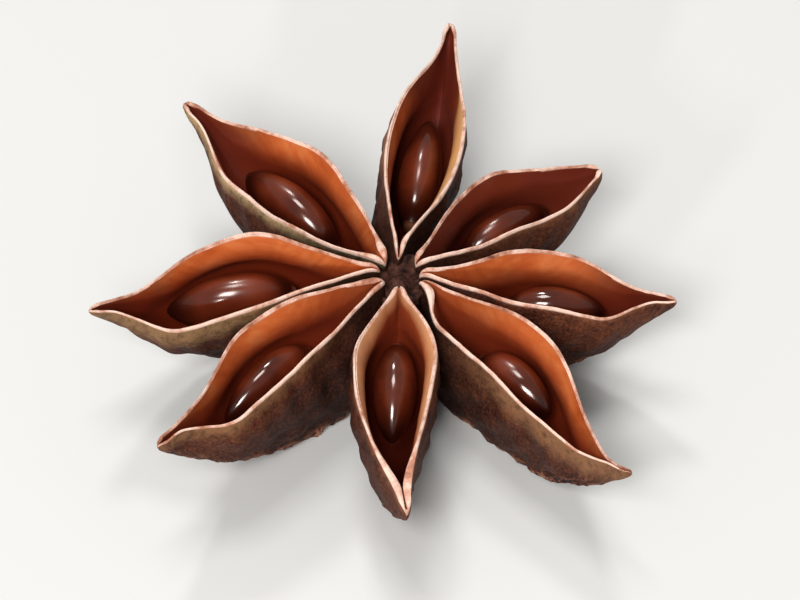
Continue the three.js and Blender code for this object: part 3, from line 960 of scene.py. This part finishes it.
def darkened(n, tone, clouds):
    """The lining with painted shade at the beak and at the axis, and as dark in all as its follicle
    has it.
    """
    # Painted shade in the beak's narrow end, past dusk_at, and near the axis (throat).
    beyond = n.math("SUBTRACT", n.fact("t"), n.fact("dusk_at"))
    beyond = n.math("ADD", beyond, n.math("MULTIPLY", n.math("SUBTRACT", clouds, 0.5), 0.2))
    beak = n.math("MULTIPLY", n.ramp(beyond, (0.0, 0.0), (0.2, 1.0)), n.fact("dusk"))
    throat = n.math("MULTIPLY", n.ramp(n.fact("t"), (0.1, 0.9), (0.36, 0.0)), n.fact("throat"))
    tone = n.mix(throat, n.mix(beak, tone, LINING_SHADE_AT_BEAK), LINING_SHADE_AT_AXIS)
    return n.mix(n.fact("gloom"), tone, LINING_GLOOM)


def inside_material():
    """The smooth lining of a follicle, orange-brown and satin, with painted shade low down, at the
    beak and at the axis, and a tan band below the rims that is partly painted light.
    """
    n = Nodes("husk_inside")
    where = n.place()
    clouds = n.noise(where, 0.4, 4, 0.55, 0.4)
    grain = n.noise(along_follicle(n, 0.35), 1.4, 4, 0.55)
    tone = darkened(n, lining_tone(n, where, clouds, grain), clouds)
    # The band below the rims: partly the lining's own tan, partly painted light on the upper wall.
    band = n.math("MULTIPLY", band_share(n, where, 1.5), 0.85)
    tone = n.mix(band, tone, n.mix(n.fact("gold"), BAND_TAN, BAND_GOLD))
    n.shade(
        Base_Color=n.mix(n.fact("rim"), tone, rim_tone(n, where)),
        Roughness=n.ramp(clouds, (0.3, 0.38), (0.7, 0.5)), Specular_IOR_Level=0.35,
        Normal=n.bump(grain, 0.12, 0.04 * MM),
    )
    return n.material


def seed_material():
    """A hard, glossy, dark red-brown seed coat, darker at its ends with painted shade, with a dull
    scar.
    """
    n = Nodes("seed_coat")
    where = n.place()
    cloud = n.noise(where, 0.3, 3, 0.5)
    coat = n.mix(n.fact("end"), n.ramp(cloud, *COAT_SHADES), COAT_SHADE_AT_ENDS)
    scar = n.ramp(n.fact("scar"), (0.3, 0.0), (0.8, 0.9))
    n.shade(
        Base_Color=n.mix(scar, coat, COAT_SCAR),
        Roughness=n.ramp(n.math("MAXIMUM", cloud, scar), (0.35, 0.1), (1.0, 0.5)),
        Specular_IOR_Level=0.7, Specular_Tint=(1, 0.9, 0.84, 1),
        Normal=n.bump(n.noise(where, 0.9, 2, 0.5), 0.06, 0.05 * MM),
    )
    return n.material


# ---------------------------------------------------------------------------------------------
# Seeds
# ---------------------------------------------------------------------------------------------


def off_middle(f, t):
    """How far the middle of the open slit lies sideways from the slit's own line."""
    return (half_width(f, t, 1) - half_width(f, t, -1)) / 2


def heading(f):
    """The direction in which the open slit runs past the seed, in radians."""
    near, far = (f["seed_at"] + step for step in (-SEED_REACH, SEED_REACH))
    aside = stray(f, far) + off_middle(f, far) - stray(f, near) - off_middle(f, near)
    return math.radians(f["turn"]) + math.atan2(aside, (far - near) * f["length"])


def turned_by(f):
    """The seed's rotation: its follicle's lean, its nod, then the way the slit runs."""
    turns = Euler((math.radians(f["lean"]), math.radians(f["nod"]), heading(f)), "XYZ")
    return np.array(turns.to_matrix())


def seed_object(f, number, material):
    """A flattened egg lying along its follicle on its narrow edge, with a scar at its inner end."""
    s = np.linspace(0.004, 0.996, SEED_STATIONS)[:, None]
    turn = np.linspace(0, 2 * math.pi, SEED_SIDES, endpoint=False)[None, :]
    girth = np.sin(math.pi * s**0.9) ** 0.6
    tall = f["seed"] * SEED_HEIGHT
    x = (s - 0.5) * f["seed"] + 0 * turn
    y = np.cos(turn) * girth * SEED_GIRTH * f["half"] * 0.5
    z = np.sin(turn) * girth * tall * 0.5
    near_scar = np.exp(-(((s - 0.06) / SEED_SCAR) ** 2))
    dent = SEED_DENT * near_scar * np.maximum(0, np.sin(turn))
    local = np.stack([x, y, z * (1 - dent)], axis=-1).reshape(-1, 3) @ turned_by(f).T
    middle = place(f, f["seed_at"], off_middle(f, f["seed_at"]), f["seed_top"] + tall * 0.5)
    faces = grid_faces(SEED_STATIONS, SEED_SIDES)
    seed = new_object(f"seed_coat_{number}", local + middle, faces)
    scar = np.exp(-((s / SEED_SCAR) ** 2)) + 0 * turn
    give_attribute(seed.data, "scar", scar.ravel())
    # end: where the seed's ends get painted shade
    end = smoothstep(np.abs(s - 0.5), 0.18, 0.46) + 0 * turn
    give_attribute(seed.data, "end", end.ravel())
    seed.data.shade_smooth()
    seed.data.materials.append(material)
    return seed


# ---------------------------------------------------------------------------------------------
# Stage
# ---------------------------------------------------------------------------------------------

CAMERA_ELEVATION = 51.0
CAMERA_DISTANCE = 0.45
CAMERA_LENS = 375.0
CAMERA_AIM = (0.0009, -0.0006, 0.0055)
FLOOR_HALF = 0.6
WORLD_STRENGTH = 0.34
LIGHT_AIM = (0, 0, 0.005)
LIGHTS = (                        # name, place, side of the square and power, in m and W
    ("overhead", (-0.04, 0.06, 0.42), 0.12, 0.65),
    ("front", (-0.07, -0.26, 0.33), 0.13, 1.5),
    ("glint_back", (-0.05, 0.24, 0.34), 0.055, 0.42),
    ("glint_front", (-0.12, -0.5, 0.2), 0.045, 0.8),
)


def make_camera():
    data = bpy.data.cameras.new("camera")
    data.lens = CAMERA_LENS
    camera = bpy.data.objects.new("camera", data)
    tilt = math.radians(CAMERA_ELEVATION)
    back = Vector((0, -math.cos(tilt), math.sin(tilt)))
    camera.location = Vector(CAMERA_AIM) + back * CAMERA_DISTANCE
    camera.rotation_euler = (-back).to_track_quat("-Z", "Y").to_euler()
    bpy.context.scene.collection.objects.link(camera)
    bpy.context.scene.camera = camera


def make_floor():
    mesh = bpy.data.meshes.new("floor")
    h = FLOOR_HALF
    mesh.from_pydata([(-h, -h, 0), (h, -h, 0), (h, h, 0), (-h, h, 0)], [], [(0, 1, 2, 3)])
    floor = bpy.data.objects.new("floor", mesh)
    bpy.context.scene.collection.objects.link(floor)
    n = Nodes("pale_floor")
    n.shade(Base_Color=FLOOR_TONE, Roughness=0.7)
    mesh.materials.append(n.material)


def area_light(name, place, size, power):
    data = bpy.data.lights.new(name, "AREA")
    data.shape = "SQUARE"
    data.size = size
    data.energy = power
    light = bpy.data.objects.new(name, data)
    light.location = place
    aim = Vector(LIGHT_AIM) - Vector(place)
    light.rotation_euler = aim.to_track_quat("-Z", "Y").to_euler()
    bpy.context.scene.collection.objects.link(light)


def make_lights():
    world = bpy.data.worlds.new("studio")
    world.use_nodes = True
    background = world.node_tree.nodes["Background"]
    background.inputs["Color"].default_value = (1, 1, 1, 1)
    background.inputs["Strength"].default_value = WORLD_STRENGTH
    bpy.context.scene.world = world
    for light in LIGHTS:
        area_light(*light)


# ---------------------------------------------------------------------------------------------
# The scene
# ---------------------------------------------------------------------------------------------

bpy.context.scene.view_settings.view_transform = "Standard"
make_camera()
make_floor()
make_lights()

husk = husk_object(outside_material(), inside_material())
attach(husk, "root")
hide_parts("husk")

seed_coat = seed_material()
for number, follicle in enumerate(FOLLICLES, 1):
    seed = seed_object(follicle, number, seed_coat)
    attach(seed, "root")
    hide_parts(f"seed_{number}")
